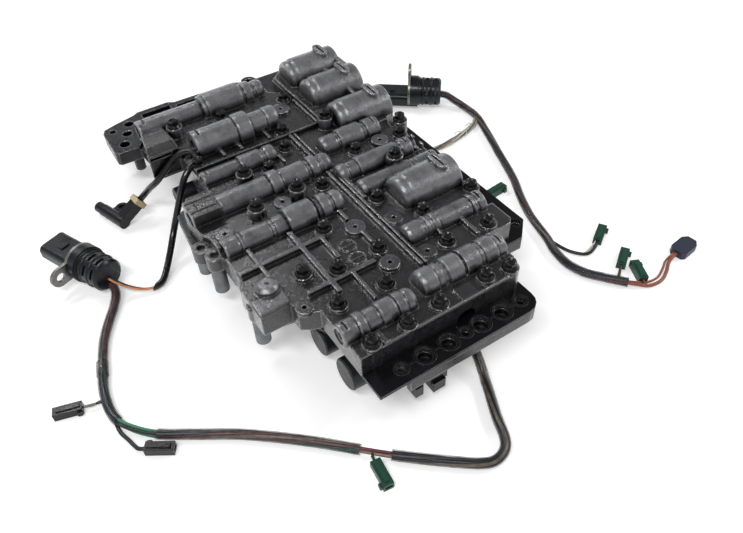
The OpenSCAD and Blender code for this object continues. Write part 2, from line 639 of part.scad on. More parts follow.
// Plugs that reach out past their clips, each with a slot for its clip and a dished face
plug_face = 3;
plug_dish = 1.2;
module bore_plugs() color([0.55, 0.55, 0.54]) for (i = [0:len(rows) - 1]) difference() {
    into_bore(i) translate([0, 0, clip_s(i) - plug_face]) difference() {
        cylinder(r = row_r(i) - 0.05, h = plug_face + clip_t + plug_l);
        translate([0, 0, -1]) cylinder(r = row_r(i) * 0.45, h = plug_dish + 1);
    }
    clip_cut(i, 0.05, 20);
}

module retainer_clips() color([0.45, 0.45, 0.46]) for (i = [0:len(rows) - 1])
    clip_cut(i, 0, row_r(i) + barrel_wall - 1);

// Accumulators
module piston(i) color([0.66, 0.65, 0.62]) into_acc(i) {
    r = acc_bore_r - run_clr;
    translate([0, 0, acc_bore_l(i) - run_clr - piston_l]) difference() {
        cylinder(r = r, h = piston_l);
        translate([0, 0, -1]) cylinder(r = r - 3, h = piston_cup + 1);
        translate([0, 0, piston_l - 4.4]) difference() {
            cylinder(r = r + 1, h = 2);
            translate([0, 0, -1]) cylinder(r = r - 1.2, h = 4);
        }
    }
}

module accumulator_springs() color([0.6, 0.61, 0.62]) for (i = [0:3]) into_acc(i)
    translate([0, 0, acc_seat(i)])
        coil(acc_spring_l(i) - run_clr, acc_bore_r - run_clr - 3 - acc_wire / 2 - 0.8, acc_wire, 5);

module accumulator_caps() color([0.5, 0.5, 0.5]) for (i = [0:3]) into_acc(i)
    translate([0, 0, key_in + key_t]) cylinder(r = acc_bore_r - 0.05, h = cap_l);

module accumulator_keys() color([0.45, 0.45, 0.46]) for (i = [0:3]) key_box(i, 0, acc_wall + 5);

module check_balls() color([0.7, 0.7, 0.7]) for (p = balls)
    translate([X(p[0]), Y(p[1]), z_deck + ball_r]) sphere(r = ball_r);

module standoff_posts() color([0.52, 0.53, 0.54]) for (p = posts) translate([X(p[0]), Y(p[1]), z_deck]) {
    translate([0, 0, -p[2]]) cylinder(r = post_r, h = p[2]);
    translate([0, 0, -p[2] - 1.6]) cylinder(r1 = post_r - 1.6, r2 = post_r, h = 1.6);
    translate([0, 0, -1]) cylinder(r = spigot_r - 0.05, h = spigot_l + 1);
}

// Solenoids
module solenoid() {
    cylinder(r = neck_r, h = neck_l + 0.5);
    translate([0, 0, neck_l]) cylinder(r = can_d / 2, h = can_l - neck_l - 1);
    translate([0, 0, can_l - 1]) cylinder(r1 = can_d / 2, r2 = can_d / 2 - 1, h = 1);
    translate([0, 0, -nose_l]) cylinder(r = nose_d / 2, h = nose_l + 0.5);
}

// Children at each solenoid seat, local +Z pointing out of the casting
module left_nests() {
    for (y = left_sol_y) translate([X(left_face), Y(y), left_sol_z]) rotate([0, -90, 0]) children();
}

module notch_nest() {
    translate([X(notch_face), Y(notch_sol_y), notch_sol_z]) rotate([0, -90, 0]) children();
}

module right_nests() {
    for (y = right_sol_y) translate([X(right_face), Y(y), right_sol_z]) rotate([0, 90, 0]) children();
}

module nose_hole(r, l) {
    translate([0, 0, -l - 1]) cylinder(r = r + sol_clr, h = l + 2);
}

// Small solenoid on a bare stem
module small_solenoid() {
    translate([0, 0, -stem_in]) cylinder(r = stem_r, h = stem_in + stem_out + 0.5);
    translate([0, 0, stem_out]) cylinder(r = small_can_d / 2, h = small_can_l - 1);
    translate([0, 0, stem_out + small_can_l - 1]) cylinder(r1 = small_can_d / 2, r2 = small_can_d / 2 - 1, h = 1);
}

module linear_solenoids() color([0.24, 0.25, 0.26]) {
    left_nests() solenoid();
    right_nests() solenoid();
    notch_nest() small_solenoid();
}

// Clamp plates between the necks of neighbouring solenoids
module clamp(y0, y1) {
    w = Y(y1) - Y(y0) - 2 * neck_r - 2 * sol_clr;
    translate([0.2, (Y(y0) + Y(y1)) / 2 - w / 2, -7]) cube([clamp_t, w, 14]);
}

module solenoid_clamps() color([0.5, 0.5, 0.5]) {
    translate([X(left_face) - clamp_t - 0.2, 0, left_sol_z]) clamp(left_sol_y[1], left_sol_y[0]);
    for (k = [0, 2]) translate([X(right_face) - 0.2, 0, right_sol_z]) clamp(right_sol_y[k], right_sol_y[k + 1]);
}

// Small shift solenoids hanging under the front shelf
module shift_solenoids() color([0.08, 0.08, 0.09]) for (q = [[-30, 16], [-48, 10]])
    translate([X(q[0]), Y(-115), z_gasket - flange_h]) {
        translate([-q[1] / 2, -7, -q[1]]) cube([q[1], 14, q[1]]);
        translate([-q[1] / 3, -9, -q[1] - 8]) cube([q[1] / 1.5, 11, 10]);
    }

// Wiring looms that lie round the body
conn_r = conn_d / 2;
conn_l = 71;
conn_back = 25;
collar_t = 8;
collar_r = conn_r + 2;
conn_z = collar_r;
conn_edge = 2;
shell_w = 27;
shell_h = 15;
shell_r = 5;
shell_wall = 2;
seal_at = [10.5, 19.5];
window_at = [4, 13.5];
seal_r = 1.2;
seal_in = conn_r - 1.6;
socket_deep = 26;
tab_t = 2.5;
tab_reach = 23;
tab_r = 9;
tab_hole_r = 4;
// Connector places: back face centre and heading of the mating end
left_conn = [-181, 35, 113];
right_conn = [218, 98, 140];
// How far the shell sits below the axis of the right connector
right_drop = 6.5;
function conn_pt(c, s, y, up) = [c[0] * kx + s * cos(c[2]) - y * sin(c[2]),
    c[1] * ky + s * sin(c[2]) + y * cos(c[2]), conn_z + up];

module at_conn(c) {
    translate([c[0] * kx, c[1] * ky, conn_z]) rotate([0, 0, c[2]]) rotate([0, 90, 0]) children();
}

module round_rect(a, b, r) {
    square([a - 2 * r, b], center = true);
    square([a, b - 2 * r], center = true);
    for (i = [-1, 1]) for (j = [-1, 1]) translate([i * (a / 2 - r), j * (b / 2 - r)]) circle(r = r);
}

module connector(drop) difference() {
    union() {
        rotate_extrude() polygon([[0, 0], [conn_r - conn_edge, 0], [conn_r, conn_edge], [conn_r, conn_back + 1],
            [0, conn_back + 1]]);
        translate([0, 0, conn_back]) cylinder(r = collar_r, h = collar_t);
        translate([0, 0, conn_back - 2]) cylinder(r = conn_r + 0.9, h = 3);
        translate([drop, 0, conn_back]) linear_extrude(height = conn_l - conn_back)
            round_rect(shell_h, shell_w, shell_r);
        translate([drop - shell_h / 2 - 1.4, -4, conn_l - 20]) cube([2, 8, 5]);
    }
    translate([drop, 0, conn_l - socket_deep]) linear_extrude(height = socket_deep + 1)
        round_rect(shell_h - 2 * shell_wall, shell_w - 2 * shell_wall, shell_r - shell_wall);
    for (z = seal_at) translate([0, 0, z - seal_r]) difference() {
        cylinder(r = conn_r + 1, h = 2 * seal_r);
        translate([0, 0, -1]) cylinder(r = seal_in, h = 2 * seal_r + 2);
    }
    for (z = window_at) for (a = [70:55:290]) rotate([0, 0, a]) translate([conn_r - 2, -4.5, z])
        cube([4, 9, 2.6]);
}

module left_connector() color([0.15, 0.16, 0.18]) at_conn(left_conn) connector(0);
module right_connector() color([0.15, 0.16, 0.18]) at_conn(right_conn) connector(right_drop);

// Steel tab round the shell of a connector, against its collar, reaching along local +Y before the roll
module bracket(drop, roll) translate([0, 0, conn_back + collar_t]) difference() {
    rotate([0, 0, roll]) union() {
        cylinder(r = collar_r, h = tab_t);
        translate([-tab_r, 0, 0]) cube([2 * tab_r, tab_reach, tab_t]);
        translate([0, tab_reach, 0]) cylinder(r = tab_r, h = tab_t);
    }
    translate([drop, 0, -1]) linear_extrude(height = tab_t + 2) round_rect(shell_h + 0.1, shell_w + 0.1, shell_r);
    rotate([0, 0, roll]) translate([0, tab_reach, -1]) cylinder(r = tab_hole_r, h = tab_t + 2);
}

module left_bracket() color([0.49, 0.48, 0.45]) at_conn(left_conn) bracket(0, 0);
module right_bracket() color([0.49, 0.48, 0.45]) at_conn(right_conn) bracket(right_drop, 90);

module connector_seals() color([0.06, 0.06, 0.06]) for (c = [left_conn, right_conn]) at_conn(c)
    for (z = seal_at) translate([0, 0, z]) rotate_extrude() translate([seal_in + seal_r, 0]) circle(r = seal_r);

// Speed sensor: head on the floor, arm rising towards the body
sensor_at = [-146.5, 110];
sensor_head = 108;
sensor_arm = 5;
arm_rise = 31;
arm_l = 21.5;
arm_w = 9.6;
band_t = 5;
band_w = arm_w + 2;
head_r = 5.8;
head_l = 35;
head_back = 5.5;
tip_l = 9;
lug_at = [14, -12];
lug_d = 12;
lug_t = 8;
arm_dir = [cos(sensor_arm) * cos(arm_rise), sin(sensor_arm) * cos(arm_rise), sin(arm_rise)];
function arm_pt(s) = [sensor_at[0] * kx, sensor_at[1] * ky, head_r] + s * arm_dir;

module on_arm() {
    translate(arm_pt(0)) rotate([0, 0, sensor_arm]) rotate([0, 90 - arm_rise, 0]) children();
}

module speed_sensor() color([0.1, 0.1, 0.11]) {
    on_arm() translate([-arm_w / 2, -arm_w / 2, 0]) cube([arm_w, arm_w, arm_l]);
    translate(arm_pt(0)) rotate([0, 0, sensor_head]) {
        rotate([0, 90, 0]) translate([0, 0, -head_back]) cylinder(r = head_r, h = head_back + head_l - tip_l);
        rotate([0, 90, 0]) translate([0, 0, head_l - tip_l - 1]) cylinder(r = head_r - 0.6, h = tip_l);
        rotate([0, 90, 0]) translate([0, 0, head_l - 1]) cylinder(r1 = head_r - 0.6, r2 = head_r - 1.6, h = 1);
        translate([lug_at[0], lug_at[1], -head_r]) difference() {
            union() {
                cylinder(d = lug_d, h = lug_t);
                translate([-lug_d / 2 + 1, 0, 0]) cube([lug_d - 2, -lug_at[1] - 3, lug_t]);
            }
            translate([0, 0, -1]) cylinder(r = 3.2, h = lug_t + 2);
        }
    }
}

module sensor_band() color([0.79, 0.72, 0.55]) on_arm()
    translate([-band_w / 2, -band_w / 2, arm_l]) cube([band_w, band_w, band_t]);

// Small plugs on the floor: back face place, heading and length of the wire stub behind them
plug_box = [21, 7.8, 6.5];
plug_hole = [5, 5.4, 2.6];
plug_strip = [17, 3.2, 1.2];
plug_ear = [3.5, 2, 3.6];
stub_r = 0.9;
wire_z = plug_box[2] / 2;
green_at = [[-88.4, -229.2, -97, 5], [193, -162, 31, 0], [187, -195, 33, 17], [190.1, -217.1, 64, 5],
    [156.5, -57.5, 5.5, 0]];
black_at = [[-240.6, -70.8, 164, 15], [-215, -129.8, -33.5, 0]];
blue_at = [237, -212, 7];
function plug_pt(c, s) = [c[0] * kx + s * cos(c[2]), c[1] * ky + s * sin(c[2]), wire_z];

// A plug with a strip along its top and one ear, at ear_x from its back and on the side of ear_y
module small_plug(c, ear_x, ear_y) translate([c[0] * kx, c[1] * ky, 0]) rotate([0, 0, c[2]]) {
    difference() {
        union() {
            translate([0, -plug_box[1] / 2, 0]) cube(plug_box);
            translate([1.5, -plug_strip[1] / 2, plug_box[2] - 0.2]) cube(plug_strip);
            translate([ear_x, ear_y * plug_box[1] / 2 - plug_ear[1], 1]) cube(plug_ear + [0, plug_ear[1], 0]);
        }
        translate([plug_box[0] - plug_hole[0], -plug_hole[1] / 2, 2]) cube(plug_hole + [1, 0, 0]);
    }
    if (c[3] > 0) translate([-c[3], 0, wire_z]) rotate([0, 90, 0]) cylinder(r = stub_r, h = c[3] + 0.5);
}

module green_plugs() color([0.12, 0.29, 0.22]) for (c = green_at) small_plug(c, 16, -1);
module black_plugs() color([0.08, 0.08, 0.09]) for (c = black_at) small_plug(c, 0.5, 1);

module blue_plug() color([0.18, 0.2, 0.27]) translate([blue_at[0] * kx, blue_at[1] * ky, 0])
    rotate([0, 0, blue_at[2]]) linear_extrude(height = 7)
        polygon([[0, -5], [3, -7.5], [18, -7.5], [23, -4], [23, 4], [18, 7.5], [3, 7.5], [0, 5]]);

// Cords: a height of 0 lies on the floor
function lay(pts, r) = [for (p = pts) [p[0] * kx, p[1] * ky, p[2] == 0 ? r : p[2]]];
left_route = [[-186, 16, 5], [-194, 3, 0], [-207, -19, 0], [-217, -46, 0], [-223, -66, 0], [-225, -86, 0],
    [-223, -99, 0], [-217, -109, 0], [-206, -122, 0], [-184, -138, 0], [-155, -158, 0], [-117, -191, 0],
    [-76, -232, 0], [-48, -257, 0], [-30, -271, 0], [-18, -278, 0], [-9, -276, 0], [-4, -265, 0], [2, -250, 0],
    [12, -229, 0], [18, -215, 7]];
right_route = [[228, 86, 8], [233, 71, 0], [232, 52, 0], [222, 23, 0], [209, -10, 0], [192, -53, 0], [179, -78, 0],
    [168, -104, 0], [160, -133, 0], [154, -150, 0], [152, -167, 0], [156, -183, 0], [164, -195, 0],
    [177, -212, 0]];
branch_route = [[232, 52, 0], [223, 44, 0], [212, 39, 0], [196, 35, 0], [174, 31.5, 0], [150, 31.5, 0],
    [128, 31.5, 6]];
lead_route = [[-166, 23, 7], [-158, 16, 3.5], [-149, 13, 0], [-141, 19, 4], [-115, 51, 21]];
gland_z = z_lower + 6;

module left_loom() color([0.3, 0.29, 0.29]) cord(concat(
    [conn_pt(left_conn, 0, 5, -7), conn_pt(left_conn, -7, 5, -8)], lay(left_route, loom_r),
    [[X(10.5), Y(-106) - 7, gland_z], [X(10.5), Y(-106), gland_z]]), loom_r, 10);

module right_loom() color([0.3, 0.29, 0.29]) cord(concat(
    [conn_pt(right_conn, 0, 0, -3), conn_pt(right_conn, -6, 0, -4)], lay(right_route, loom_r)), loom_r, 10);

module right_branch() color([0.5, 0.48, 0.42]) cord(concat(lay(branch_route, branch_d / 2),
    [[X(right_face) + 10, 31.5 * ky, gland_z], [X(right_face), 31.5 * ky, gland_z]]), branch_d / 2, 10);

module sensor_lead() color([0.06, 0.06, 0.06]) cord(concat(
    [conn_pt(left_conn, 0, -7, -4), conn_pt(left_conn, -7, -7, -5)], lay(lead_route, lead_r),
    [[X(-106.5), Y(145.5), z_floor - 9], [X(-95.5), Y(156), z_floor + lead_r],
        [X(-84.5), Y(176), z_floor + lead_r + 1], [X(-91.5), Y(178.4), z_floor + lead_r + 0.5],
        [X(-108.5), Y(178), z_floor - 9], [X(-119.5), Y(177.5), z_floor - 18], [X(-126), Y(188), z_floor - 30],
        arm_pt(arm_l + band_t + 7), arm_pt(arm_l + band_t)]), lead_r, 10);

module wire_a() color([0.07, 0.07, 0.07]) cord(concat(
    lay([[-225, -95, 0], [-225, -108, 0], [-221, -119, 0]], wire_r),
    [plug_pt(black_at[1], -6), plug_pt(black_at[1], 0)]), wire_r, 8);

module wire_b() color([0.1, 0.1, 0.1]) cord(concat(
    lay([[162, -125, 0], [163, -142, 0], [167, -157, 0], [177, -167, 0]], wire_r),
    [plug_pt(green_at[1], -6), plug_pt(green_at[1], 0)]), wire_r, 8);

module wire_c() color([0.35, 0.2, 0.16]) cord(concat(
    lay([[177, -212, wire_z], [183, -218, 3], [190, -223, 0], [203, -225, 0], [216, -220, 0],
        [225, -214.5, 0]], wire_r),
    [plug_pt(blue_at, -7), plug_pt(blue_at, 0)]), wire_r, 8);

module wire_d() color([0.1, 0.1, 0.1]) cord(concat(
    [[X(right_face), Y(35), gland_z], [X(right_face) + 8, Y(35), gland_z]],
    lay([[128, -52, 8], [141, -57, 4]], wire_r),
    [plug_pt(green_at[4], -6), plug_pt(green_at[4], 0)]), wire_r, 8);

left_valve_body();
right_valve_body();
upper_gasket();
separator_plate();
lower_gasket();
lower_valve_body();
bottom_cover();
body_bolts();
cover_bolts();
spool(0);  // spool_a
spool(1);  // spool_b
spool(2);  // spool_c
spool(3);  // spool_d
spool(4);  // spool_e
spool(5);  // spool_f
spool(6);  // spool_g
spool(7);  // spool_h
spool(8);  // spool_i
spool(9);  // spool_j
spool(10);  // spool_k
spool_springs();
bore_plugs();
retainer_clips();
piston(0);  // piston_a
piston(1);  // piston_b
piston(2);  // piston_c
piston(3);  // piston_d
accumulator_springs();
accumulator_caps();
accumulator_keys();
check_balls();
standoff_posts();
linear_solenoids();
solenoid_clamps();
shift_solenoids();
left_connector();
right_connector();
left_bracket();
right_bracket();
connector_seals();
speed_sensor();
sensor_band();
green_plugs();
black_plugs();
blue_plug();
left_loom();
right_loom();
right_branch();
sensor_lead();
wire_a();
wire_b();
wire_c();
wire_d();
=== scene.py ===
import json
import math

import bpy
from mathutils import Matrix, Vector


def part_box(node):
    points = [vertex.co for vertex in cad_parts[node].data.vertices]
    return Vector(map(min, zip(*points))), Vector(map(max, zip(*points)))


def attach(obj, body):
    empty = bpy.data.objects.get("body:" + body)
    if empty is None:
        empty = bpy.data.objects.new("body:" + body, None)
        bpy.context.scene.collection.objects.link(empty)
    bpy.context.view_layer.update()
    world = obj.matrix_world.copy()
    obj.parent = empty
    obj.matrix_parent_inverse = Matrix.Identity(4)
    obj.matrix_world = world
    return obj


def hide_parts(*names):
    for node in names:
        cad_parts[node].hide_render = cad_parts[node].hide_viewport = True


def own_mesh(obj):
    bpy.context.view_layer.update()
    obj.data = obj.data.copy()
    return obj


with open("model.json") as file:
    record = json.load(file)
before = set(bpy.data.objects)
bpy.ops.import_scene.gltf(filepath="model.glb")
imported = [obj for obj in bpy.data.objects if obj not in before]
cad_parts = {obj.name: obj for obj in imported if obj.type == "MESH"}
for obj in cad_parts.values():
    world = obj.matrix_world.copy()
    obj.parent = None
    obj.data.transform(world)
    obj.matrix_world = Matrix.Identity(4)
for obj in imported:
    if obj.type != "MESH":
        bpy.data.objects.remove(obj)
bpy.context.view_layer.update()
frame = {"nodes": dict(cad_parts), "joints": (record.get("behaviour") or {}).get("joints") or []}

MM = 0.001
BODY = "housing"
NODES = frame["nodes"]
scene = bpy.context.scene
scene.view_settings.view_transform = "Standard"

# Camera: place of the photograph's view, and its axes to the right and back
CAM_PLACE = (-0.2136, -0.4368, 0.4391)
CAM_RIGHT = (0.8329, -0.5526, -0.0294)
CAM_BACK = (-0.3701, -0.5958, 0.7128)
SENSOR_MM = 36
FOCAL_PX = 706
PHOTO_W = 743


def make_camera():
    data = bpy.data.cameras.new("photo_camera")
    data.sensor_width = SENSOR_MM
    data.sensor_fit = "HORIZONTAL"
    data.lens = FOCAL_PX / PHOTO_W * SENSOR_MM
    data.clip_start = 0.01
    camera = bpy.data.objects.new("photo_camera", data)
    scene.collection.objects.link(camera)
    right = Vector(CAM_RIGHT).normalized()
    back = Vector(CAM_BACK).normalized()
    up = back.cross(right).normalized()
    right = up.cross(back)
    turn = Matrix((right, up, back)).transposed().to_4x4()
    camera.matrix_world = Matrix.Translation(CAM_PLACE) @ turn
    scene.camera = camera


make_camera()


# Distances past a box's faces between which its mask fades, in metres; below 0 is inside
BOX_FADE = (-0.0015, 0.0005)


# Material helpers
class Look:
    """A node material under construction."""

    def __init__(self, name):
        self.mat = bpy.data.materials.new(name)
        self.mat.use_nodes = True
        self.tree = self.mat.node_tree
        self.tree.nodes.clear()
        self.out = self.add("ShaderNodeOutputMaterial")
        self.place = self.add("ShaderNodeTexCoord").outputs["Object"]

    def add(self, kind, ins=None, **props):
        node = self.tree.nodes.new(kind)
        for key, value in props.items():
            setattr(node, key, value)
        for key, value in (ins or {}).items():
            if isinstance(value, bpy.types.NodeSocket):
                self.tree.links.new(value, node.inputs[key])
            else:
                node.inputs[key].default_value = value
        return node

    def noise(self, scale, detail=4.0, rough=0.55, stretch=None):
        place = self.place
        if stretch:
            place = self.add("ShaderNodeMapping", {"Vector": place, "Scale": stretch}).outputs[0]
        ins = {"Vector": place, "Scale": scale, "Detail": detail, "Roughness": rough}
        return self.add("ShaderNodeTexNoise", ins).outputs[0]

    def remap(self, value, low, high, to_low=0.0, to_high=1.0):
        ins = {0: value, 1: low, 2: high, 3: to_low, 4: to_high}
        return self.add("ShaderNodeMapRange", ins).outputs[0]

    def mix(self, share, a, b, blend="MIX"):
        ins = {0: share, 6: a, 7: b}
        return self.add("ShaderNodeMix", ins, data_type="RGBA", blend_type=blend).outputs[2]

    def math(self, op, a, b):
        return self.add("ShaderNodeMath", {0: a, 1: b}, operation=op).outputs[0]

    def axis(self, k):
        return self.add("ShaderNodeSeparateXYZ", {0: self.place}).outputs[k]

    def vector(self, op, a, b=(0, 0, 0), out="Vector"):
        return self.add("ShaderNodeVectorMath", {0: a, 1: b}, operation=op).outputs[out]

    def away(self, place):
        """Distance from a place given in millimetres."""
        return self.vector("DISTANCE", self.place, [c * MM for c in place], "Value")

    def inside(self, low, high):
        """1 inside a box given by its corners in millimetres, with soft faces."""
        centre = [(a + b) / 2 * MM for a, b in zip(low, high)]
        half = [(b - a) / 2 * MM for a, b in zip(low, high)]
        past = self.vector("ABSOLUTE", self.vector("SUBTRACT", self.place, centre))
        sides = self.add("ShaderNodeSeparateXYZ", {0: self.vector("SUBTRACT", past, half)}).outputs
        most = self.math("MAXIMUM", self.math("MAXIMUM", sides[0], sides[1]), sides[2])
        return self.remap(most, *BOX_FADE, 1.0, 0.0)

    def hollow(self, reach):
        """1 in the open and lower in corners."""
        return self.add("ShaderNodeAmbientOcclusion", {"Distance": reach}, samples=8).outputs["AO"]

    def soft_edge(self, radius):
        """Normal rounded over the edges, and a mask of those edges."""
        normal = self.add("ShaderNodeBevel", {"Radius": radius}, samples=6).outputs[0]
        true = self.add("ShaderNodeNewGeometry").outputs["Normal"]
        turned = self.vector("DOT_PRODUCT", normal, true, "Value")
        return normal, self.remap(turned, 0.995, 0.86)

    def bump(self, height, strength, depth, normal=None):
        ins = {"Height": height, "Strength": strength, "Distance": depth}
        if normal:
            ins["Normal"] = normal
        return self.add("ShaderNodeBump", ins).outputs[0]

    def finish(self, shader):
        self.tree.links.new(shader, self.out.inputs[0])
        return self.mat

    def surface(self, ins):
        """The finished material of one Principled shader."""
        return self.finish(self.add("ShaderNodeBsdfPrincipled", ins).outputs[0])


def rgb(r, g, b):
    return (r, g, b, 1.0)


def shade(colour, share):
    return rgb(*[min(1.0, c * share) for c in colour])


# Painted shade in corners (partly also oil); oil in films and on the oiled blocks; bare metal on rubbed
# edges; and tone of the grain
CORNER_SHADE_AND_OIL = rgb(0.003, 0.003, 0.003)
FILM_OIL = rgb(0.012, 0.012, 0.012)
BLOCK_OIL = rgb(0.016, 0.016, 0.017)
RUBBED = rgb(0.48, 0.48, 0.475)
GRAIN_TONE = rgb(0.36, 0.36, 0.36)
# Radius of the castings' rounded edges, and reach of the painted corner shade in narrow and wide corners
CAST_ROUND = 0.0020
NARROW = 0.0035
WIDE = 0.010
# Painted light: depths below a casting's floor between which its walls are lifted towards the ribs'
# colour, and by how much
WALL_FROM = 0.002
WALL_TO = 0.006
WALL_SHARE = 0.15
# Blind holes painted on the castings as dark discs of shade: centres in millimetres, and radii of their
# soft edge in metres
BOSS_HOLES = [(-94.5, -101.5, 73.1)]
HOLE_EDGE = (0.0016, 0.0019)
# Blocks of the castings that stay black with oil: lowest and highest corner, in millimetres
OILED_BLOCKS = [((-111, 95, 64.5), (-80, 128, 80)), ((-111, -8.5, 64.5), (-84.5, 15.5, 80))]


def cast_metal(name, floor, rib, top, heights, rough, oil, wet):
    """Sand-cast aluminium with painted shade in its hollows, partly also standing for oil; floor, rib
    and top are its colours at three heights, darker low down, which also paints shade on the lower
    flanks.
    """
    k = Look(name)
    grain = k.noise(620, 4, 0.7)
    dimple = k.noise(300, 3)
    blotch = k.noise(70, 6, 0.65, (1.6, 0.7, 1.0))
    film = k.noise(130, 4)
    z = k.axis(2)
    floor_z, rib_z, top_z = heights
    # Colour by height, darker low down and lighter on top; on the lower flanks this gradient also paints
    # shade
    rise = k.remap(z, rib_z, top_z)
    base = k.mix(k.remap(z, floor_z, rib_z), rgb(*floor), rgb(*rib))
    base = k.mix(rise, base, rgb(*top))
    # Painted light: the walls below the floor are lifted towards the ribs' colour
    base = k.mix(k.remap(z, floor_z - WALL_TO, floor_z - WALL_FROM, WALL_SHARE, 0.0), base, rgb(*rib))
    base = k.mix(k.remap(blotch, 0.45, 0.72, 0.0, oil), base, FILM_OIL)
    base = k.mix(k.remap(grain, 0.38, 0.64, 0.2, 0.8), base, GRAIN_TONE, "OVERLAY")
    for corners in OILED_BLOCKS:
        base = k.mix(k.math("MULTIPLY", k.inside(*corners), 0.8), base, BLOCK_OIL)
    # Painted shade, partly also oil: near black in narrow and wide corners; bare is 1 in the open and
    # low in narrow corners, and also keeps the rubbed edges out of them
    bare = k.remap(k.hollow(NARROW), 0.52, 0.9)
    base = k.mix(k.remap(k.hollow(WIDE), 0.40, 0.92), CORNER_SHADE_AND_OIL, base)
    base = k.mix(bare, CORNER_SHADE_AND_OIL, base)
    normal, edge = k.soft_edge(CAST_ROUND)
    worn = k.math("MULTIPLY", edge, bare)
    base = k.mix(k.math("MULTIPLY", worn, 0.55), base, RUBBED)
    # Painted shade: a dark disc stands for the shade inside a hole that has no geometry
    for place in BOSS_HOLES:
        base = k.mix(k.remap(k.away(place), *HOLE_EDGE), CORNER_SHADE_AND_OIL, base)
    height = k.math("ADD", grain, k.math("MULTIPLY", dimple, 0.5))
    shine = k.remap(film, 0.35, 0.68, rough - 0.10, rough + 0.12)
    return k.surface({
        "Base Color": base, "Metallic": k.remap(worn, 0.0, 1.0, 0.5, 0.95),
        "Roughness": k.math("SUBTRACT", shine, k.math("MULTIPLY", worn, 0.08)),
        "Normal": k.bump(height, 0.4, 0.0006, normal),
        "Coat Weight": k.remap(rise, 0.0, 1.0, wet, wet * 0.65), "Coat Roughness": 0.07,
        "Coat Normal": k.bump(height, 0.32, 0.0006, normal)})


def gloss_sheet(name, colour, pale, rough):
    """Dark oiled sheet with wiped streaks."""
    k = Look(name)
    wipe = k.noise(60, 5, 0.6, (1.0, 0.35, 1.0))
    fine = k.noise(700, 3)
    base = k.mix(k.remap(wipe, 0.50, 0.78, 0.0, 0.8), rgb(*colour), rgb(*pale))
    # Painted shade: near black in the sheet's corners, where shade falls
    base = k.mix(k.remap(k.hollow(0.006), 0.3, 0.9), rgb(0.004, 0.004, 0.004), base)
    normal, edge = k.soft_edge(0.0004)
    base = k.mix(k.math("MULTIPLY", edge, 0.4), base, rgb(0.20, 0.20, 0.21))
    return k.surface({
        "Base Color": base, "Metallic": 0.2, "Specular IOR Level": 0.3,
        "Roughness": k.remap(wipe, 0.35, 0.7, rough, rough + 0.2),
        "Normal": k.bump(fine, 0.12, 0.0002, normal)})


def worn_metal(name, colour, edge_colour, rough, metal, wear, scale=300):
    """Plated or blackened steel, brighter along its edges."""
    k = Look(name)
    spot = k.noise(scale, 5, 0.6)
    base = k.mix(k.remap(spot, 0.4, 0.7, 0.0, 0.5), rgb(*colour), shade(colour, 0.55))
    normal, edge = k.soft_edge(0.0005)
    base = k.mix(k.math("MULTIPLY", edge, wear), base, rgb(*edge_colour))
    # Painted shade: a darker copy of the colour in corners, where shade falls
    base = k.mix(k.remap(k.hollow(0.004), 0.3, 0.9), shade(colour, 0.3), base)
    return k.surface({
        "Base Color": base, "Metallic": metal,
        "Roughness": k.remap(spot, 0.3, 0.7, rough - 0.08, rough + 0.12),
        "Normal": k.bump(spot, 0.15, 0.0003, normal)})


def turned_metal(name, colour, rough, axis, pitch):
    """Turned or ground metal with fine rings along an axis."""
    k = Look(name)
    wave = {"Vector": k.place, "Scale": pitch, "Distortion": 0.6, "Detail": 2.0}
    rings = k.add("ShaderNodeTexWave", wave, bands_direction=axis).outputs[1]
    smear = k.noise(120, 4)
    base = k.mix(k.remap(smear, 0.35, 0.7, 0.0, 0.45), rgb(*colour), shade(colour, 0.5))
    normal, edge = k.soft_edge(0.0004)
    base = k.mix(k.math("MULTIPLY", edge, 0.4), base, shade(colour, 1.5))
    return k.surface({
        "Base Color": base, "Metallic": 0.8,
        "Roughness": k.remap(smear, 0.3, 0.7, rough - 0.06, rough + 0.12),
        "Normal": k.bump(rings, 0.10, 0.0001, normal)})


def moulded_plastic(name, colour, rough, speckle=0.2, edge_lift=1.9):
    """Moulded plastic with a spark-eroded grain and rubbed edges."""
    k = Look(name)
    grain = k.noise(1600, 2)
    smear = k.noise(70, 4)
    base = k.mix(k.remap(smear, 0.4, 0.7, 0.0, speckle), rgb(*colour), shade(colour, 0.45))
    normal, edge = k.soft_edge(0.0005)
    rubbed = rgb(*[min(1.0, c * edge_lift + 0.01) for c in colour])
    base = k.mix(k.math("MULTIPLY", edge, 0.5), base, rubbed)
    # Painted shade: a darker copy of the colour in corners, where shade falls
    base = k.mix(k.remap(k.hollow(0.004), 0.25, 0.9), shade(colour, 0.3), base)
    return k.surface({
        "Base Color": base, "Specular IOR Level": 0.35,
        "Roughness": k.remap(smear, 0.3, 0.7, rough - 0.08, rough + 0.1),
        "Normal": k.bump(grain, 0.2, 0.00012, normal)})


def wire_skin(name, colour):
    """Thin wire insulation with dirt."""
    k = Look(name)
    dirt = k.noise(240, 4)
    base = k.mix(k.remap(dirt, 0.45, 0.72, 0.0, 0.6), rgb(*colour), shade(colour, 0.35))
    return k.surface({
        "Base Color": base, "Roughness": k.remap(dirt, 0.3, 0.7, 0.3, 0.5),
        "Normal": k.bump(dirt, 0.1, 0.0002)})


